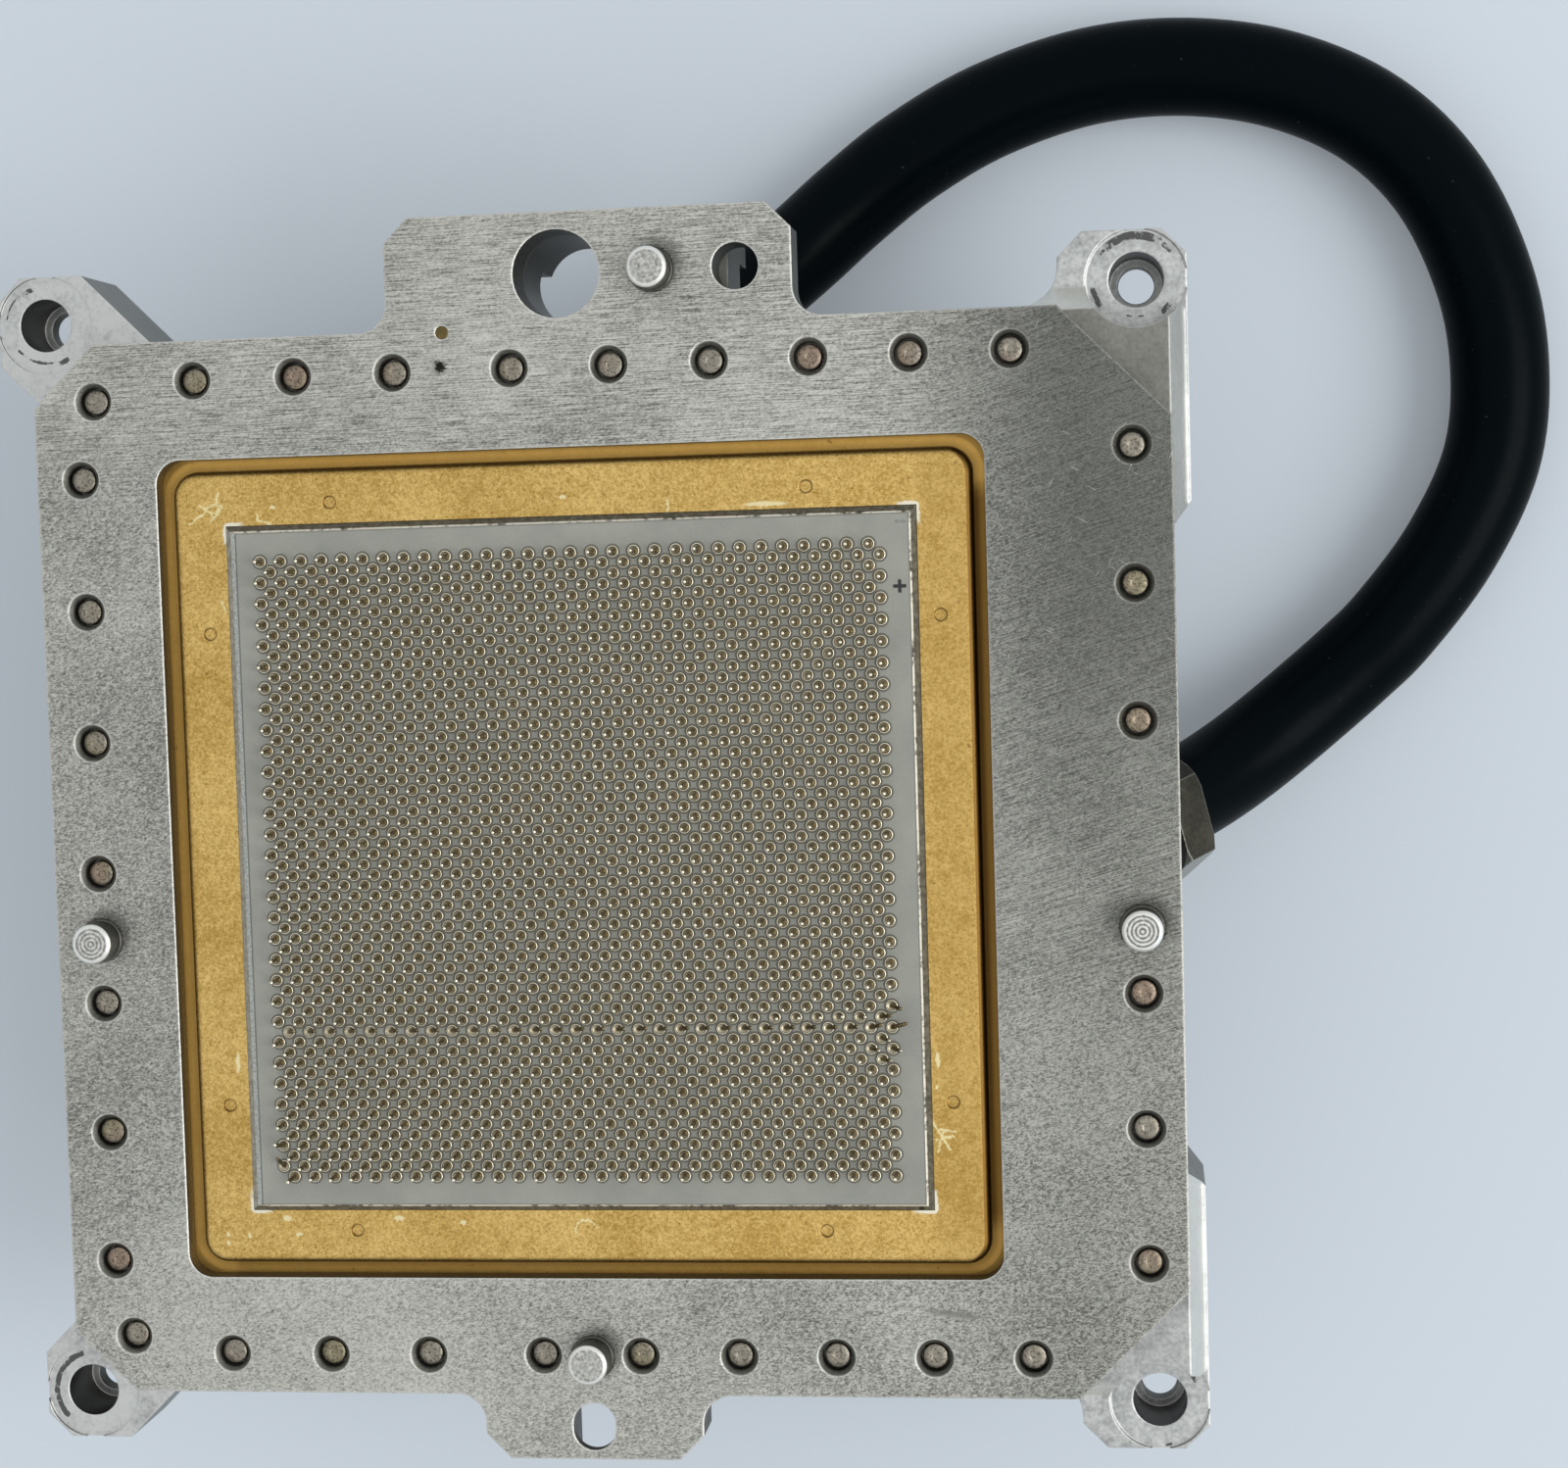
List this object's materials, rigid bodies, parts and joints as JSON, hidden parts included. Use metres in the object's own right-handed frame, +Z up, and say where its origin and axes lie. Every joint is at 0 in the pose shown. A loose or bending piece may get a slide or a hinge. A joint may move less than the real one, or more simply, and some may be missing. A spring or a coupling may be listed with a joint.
{
  "type": "multi-chip module",
  "caption": "Water cooled multi-chip module: a ceramic pin field in a gold sealing flange, clamped by a screwed plate to a lugged housing on a cold plate with a hose.",
  "frame": {"origin": "under the middle of the pin field, on the plane the cold plate's cover rests on", "axes": "+Z up out of the pin face; +Y towards the large tab with the two holes; +X towards the wider side of the plate, where the hose leaves"},
  "size_m": [0.1956, 0.1801, 0.0615],
  "materials": {
    "plate_metal": "fine abraded, edges bright",
    "gold_flange": "gold plated, satin, lightly scratched",
    "ceramic": "matt",
    "braze": "satin",
    "pad_braze": "satin",
    "gold_pin": "gold plated",
    "chip": "polished",
    "piston_metal": "turned",
    "spring_steel": "plain",
    "housing_metal": "machined",
    "seal_metal": "dull plated",
    "screw_bronze": "dull",
    "dowel_steel": "turned end",
    "plug_metal": "dull",
    "cold_metal": "machined",
    "bolt_steel": "blackened",
    "fitting_metal": "dull",
    "nut_metal": "olive grey, dull",
    "hose_rubber": "smooth, satin"
  },
  "bodies": {
    "root": {"base_plate": "plate_metal", "substrate_flange": "gold_flange", "ceramic_substrate": "ceramic", "braze_fillet": "braze", "pin_pads_upper": "pad_braze", "pin_pads_lower": "pad_braze", "contact_pins_upper": "gold_pin", "contact_pins_lower": "gold_pin", "chips": "chip", "pistons": "piston_metal", "piston_springs": "spring_steel", "housing": "housing_metal", "seal_ring": "seal_metal", "clamp_screws": "screw_bronze", "dowel_top": "dowel_steel", "dowel_left": "dowel_steel", "dowel_right": "dowel_steel", "dowel_bottom": "dowel_steel", "tab_plug": "plug_metal", "cold_plate": "cold_metal", "cold_plate_cover": "cold_metal", "cold_plate_screws": "bolt_steel", "side_elbow": "fitting_metal", "side_nut": "nut_metal", "top_elbow": "fitting_metal", "top_nut": "nut_metal", "hose": "hose_rubber"}
  },
  "joints": []
}
